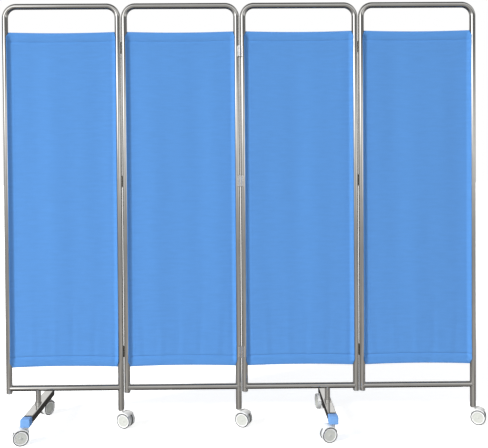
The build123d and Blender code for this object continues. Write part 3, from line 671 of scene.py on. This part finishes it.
for name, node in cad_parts.items():
    if "hood" in name or "stems" in name:
        node.data.materials.clear()
        node.data.materials.append(stem_steel if "stems" in name else hood_plastic)
casters = []
for side in ("left", "right"):
    low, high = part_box(f"{side}_foot_bar")
    for place, way in (("front", -1), ("rear", 1)):
        name = f"{side}_foot_{place}"
        casters.append((name, (low[0] + high[0]) / 2, way * FOOT_REACH, FOOT_TRAIL_DEG[name]))
for leaf in (1, 2, 4):
    low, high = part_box(f"frame_{leaf}")
    casters.append((f"post_{leaf}", high[0] - TUBE_R, 0, POST_TRAIL_DEG))
for name, x, y, trail_deg in casters:
    angle = math.radians(trail_deg)
    hub = np.array([x + TRAIL * math.cos(angle), y + TRAIL * math.sin(angle), WHEEL_R])
    for wheel, way in (("a", 1), ("b", -1)):
        outward = way * np.array([math.sin(angle), -math.cos(angle), 0.0])
        pieces = [skin(f"{name}_{wheel}_{part}", [(turned_on(profile, hub, outward), closed, True)], paint, 50.0)
                  for part, profile, closed, paint in (("tyre", TYRE, True, painted_shade_tyre),
                                                       ("tread", TREAD, True, tread_rubber),
                                                       ("hub", HUB, False, hub_plastic),
                                                       ("disc", DISC, False, disc_plastic))]
        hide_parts(f"{name}_wheel_{wheel}")
        for piece in pieces:
            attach(piece, f"{name}_wheel_{wheel}")

# Studio: a plain pale floor and a white surround, lit from the upper left by a large soft lamp, with
# a near one low at the left and a weak one at the right. Polished steel shows the room: a bright
# window at the left, a dimmer one at the right, darker walls, and a dark ceiling and floor.
FLOOR_HALF = 30.0
FLOOR_GLOW = 0.7
floor_mesh = bpy.data.meshes.new("studio_floor")
floor_mesh.from_pydata([(-FLOOR_HALF, -FLOOR_HALF, 0), (FLOOR_HALF, -FLOOR_HALF, 0),
                        (FLOOR_HALF, FLOOR_HALF, 0), (-FLOOR_HALF, FLOOR_HALF, 0)], [], [(0, 1, 2, 3)])
floor = bpy.data.objects.new("studio_floor", floor_mesh)
bpy.context.scene.collection.objects.link(floor)
floor.visible_glossy = False
floor_paint = bpy.data.materials.new("pale_floor")
floor_paint.use_nodes = True
tree = floor_paint.node_tree
tree.nodes["Principled BSDF"].inputs["Base Color"].default_value = (0.85, 0.85, 0.84, 1)
tree.nodes["Principled BSDF"].inputs["Roughness"].default_value = 0.9
tree.nodes["Principled BSDF"].inputs["Specular IOR Level"].default_value = 0.0
paths = tree.nodes.new("ShaderNodeLightPath")
glow = tree.nodes.new("ShaderNodeEmission")
glow_level = tree.nodes.new("ShaderNodeMath")
glow_level.operation = "MULTIPLY"
glow_level.inputs[1].default_value = FLOOR_GLOW
both = tree.nodes.new("ShaderNodeAddShader")
tree.links.new(paths.outputs["Is Camera Ray"], glow_level.inputs[0])
tree.links.new(glow_level.outputs["Value"], glow.inputs["Strength"])
tree.links.new(tree.nodes["Principled BSDF"].outputs["BSDF"], both.inputs[0])
tree.links.new(glow.outputs["Emission"], both.inputs[1])
tree.links.new(both.outputs["Shader"], tree.nodes["Material Output"].inputs["Surface"])
floor_mesh.materials.append(floor_paint)
floor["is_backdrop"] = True

world = bpy.data.worlds.new("studio")
bpy.context.scene.world = world
world.use_nodes = True
tree = world.node_tree
paths = tree.nodes.new("ShaderNodeLightPath")
direction = tree.nodes.new("ShaderNodeTexCoord")
parts = tree.nodes.new("ShaderNodeSeparateXYZ")
tree.links.new(direction.outputs["Generated"], parts.inputs["Vector"])
BRIGHTEST = 3.2
SOFT_LEVEL = 0.36
ROOM_HEIGHTS = (-1.0, -0.84, -0.6, -0.283, -0.25, -0.205, -0.165, -0.125, -0.084, -0.043, 0.0,
                0.04, 0.081, 0.109, 0.136, 0.163, 0.24, 0.34, 0.65, 0.85, 1.0)
ROOM_FRONT = (0.15, 0.20, 0.34, 0.54, 0.44, 0.46, 0.45, 0.45, 0.45, 0.45, 0.50,
              0.50, 0.40, 0.28, 0.22, 0.20, 0.40, 0.95, 0.8, 0.35, 0.20)
ROOM_LEFT = (0.05, 0.15, 0.3, 0.55, 0.35, 0.35, 0.35, 0.35, 0.5, 0.7, 0.9,
             1.7, 2.6, 3.2, 3.2, 3.1, 2.4, 1.4, 1.0, 0.2, 0.10)
ROOM_RIGHT = (0.05, 0.12, 0.15, 0.25, 0.60, 0.50, 0.40, 0.32, 0.50, 0.90, 1.3,
              1.25, 1.0, 0.65, 0.40, 0.20, 0.10, 0.8, 0.8, 0.15, 0.10)
ROOM_SIDES = (0.05, 0.08, 0.10, 0.30, 0.30, 0.40, 0.45, 0.45, 0.45, 0.50, 0.60,
              0.60, 0.5, 0.40, 0.30, 0.2, 0.30, 0.5, 0.5, 0.2, 0.10)
ROOM_BEHIND = (0.03, 0.03, 0.04, 0.05, 0.05, 0.06, 0.08, 0.10, 0.10, 0.12, 0.15,
               0.12, 0.08, 0.05, 0.04, 0.20, 0.80, 1.0, 0.5, 0.15, 0.10)


def ranged(value, start, stop, smooth="SMOOTHSTEP"):
    """A share from 0 to 1 as a value runs from start to stop."""
    share = tree.nodes.new("ShaderNodeMapRange")
    share.interpolation_type = smooth
    share.inputs["From Min"].default_value = start
    share.inputs["From Max"].default_value = stop
    tree.links.new(value, share.inputs["Value"])
    return share.outputs["Result"]


def blended(share, first, second):
    """A mix of two colours, each a socket or a plain level."""
    mix = tree.nodes.new("ShaderNodeMix")
    mix.data_type = "RGBA"
    tree.links.new(share, mix.inputs[0])
    for socket, colour in ((mix.inputs[6], first), (mix.inputs[7], second)):
        if isinstance(colour, float):
            socket.default_value = (colour, colour, colour, 1)
        else:
            tree.links.new(colour, socket)
    return mix.outputs[2]


def wall(levels):
    """One side of the room: its brightness by height, warmer near its floor."""
    bands = tree.nodes.new("ShaderNodeValToRGB")
    ramp = bands.color_ramp
    for height, level in zip(ROOM_HEIGHTS[1:-1], levels[1:-1]):
        ramp.elements.new((height + 1) / 2)
    for stop, height, level in zip(ramp.elements, ROOM_HEIGHTS, levels):
        warm = 0.92 if height < -0.2 else 0.985
        stop.color = [level / BRIGHTEST * share for share in (1, (1 + warm) / 2, warm)] + [1]
    tree.links.new(ranged(parts.outputs["Z"], -1.0, 1.0, "LINEAR"), bands.inputs["Fac"])
    return bands.outputs["Color"]


room = blended(ranged(parts.outputs["X"], -0.18, -0.32), wall(ROOM_FRONT), wall(ROOM_LEFT))
room = blended(ranged(parts.outputs["X"], 0.30, 0.42), room, wall(ROOM_RIGHT))
room = blended(ranged(parts.outputs["Y"], -0.72, -0.52), room, wall(ROOM_SIDES))
room = blended(ranged(parts.outputs["Y"], 0.55, 0.75), room, wall(ROOM_BEHIND))
lit = blended(paths.outputs["Is Glossy Ray"], SOFT_LEVEL / BRIGHTEST, room)
shown = blended(paths.outputs["Is Camera Ray"], lit, 1.0 / BRIGHTEST)
tree.links.new(shown, tree.nodes["Background"].inputs["Color"])
tree.nodes["Background"].inputs["Strength"].default_value = BRIGHTEST

for name, across_deg, up_deg, spread_deg, power in (("soft_lamp_left", -54.0, 32.0, 9.0, 3.5),
                                                    ("soft_lamp_right", 48.0, 12.0, 30.0, 0.25)):
    lamp_data = bpy.data.lights.new(name, "SUN")
    lamp_data.angle = math.radians(spread_deg)
    lamp_data.energy = power
    lamp = bpy.data.objects.new(name, lamp_data)
    bpy.context.scene.collection.objects.link(lamp)
    lamp.visible_glossy = False
    lamp.rotation_euler = (math.radians(90 - up_deg), 0, math.radians(across_deg))
near_data = bpy.data.lights.new("near_lamp", "AREA")
near_data.size = 1.2
near_data.energy = 22.0
near_lamp = bpy.data.objects.new("near_lamp", near_data)
bpy.context.scene.collection.objects.link(near_lamp)
near_lamp.visible_glossy = False
near_place = Vector((-2.7, -2.2, 0.9))
near_aim = Vector((-0.6, 0, 0.95)) - near_place
near_lamp.matrix_world = Matrix.Translation(near_place) @ near_aim.to_track_quat("-Z", "Y").to_matrix().to_4x4()

# Camera: where the photograph was taken from, solved from the posts, rails and feet in it.
CAMERA_PLACE = Vector((-0.0132, -3.07, 1.1377))
YAW, PITCH, ROLL = 0.0093, -0.0166, -0.0069
FOCAL_PX, CENTRE_Y_PX = 721.9, 171.1
WIDE_PX, HIGH_PX = 488, 448
camera_data = bpy.data.cameras.new("camera")
camera_data.sensor_width = 36.0
camera_data.lens = FOCAL_PX / WIDE_PX * camera_data.sensor_width
camera_data.shift_y = (CENTRE_Y_PX - HIGH_PX / 2) / WIDE_PX
camera = bpy.data.objects.new("camera", camera_data)
bpy.context.scene.collection.objects.link(camera)
forward = Vector((math.sin(YAW) * math.cos(PITCH), math.cos(YAW) * math.cos(PITCH), math.sin(PITCH)))
level = Vector((math.cos(YAW), -math.sin(YAW), 0))
upright = level.cross(forward)
right = math.cos(ROLL) * level + math.sin(ROLL) * upright
up = math.cos(ROLL) * upright - math.sin(ROLL) * level
turned = Matrix((right, up, -forward)).transposed().to_4x4()
camera.matrix_world = Matrix.Translation(CAMERA_PLACE) @ turned
bpy.context.scene.camera = camera
bpy.context.scene.view_settings.view_transform = "Standard"

low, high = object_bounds()
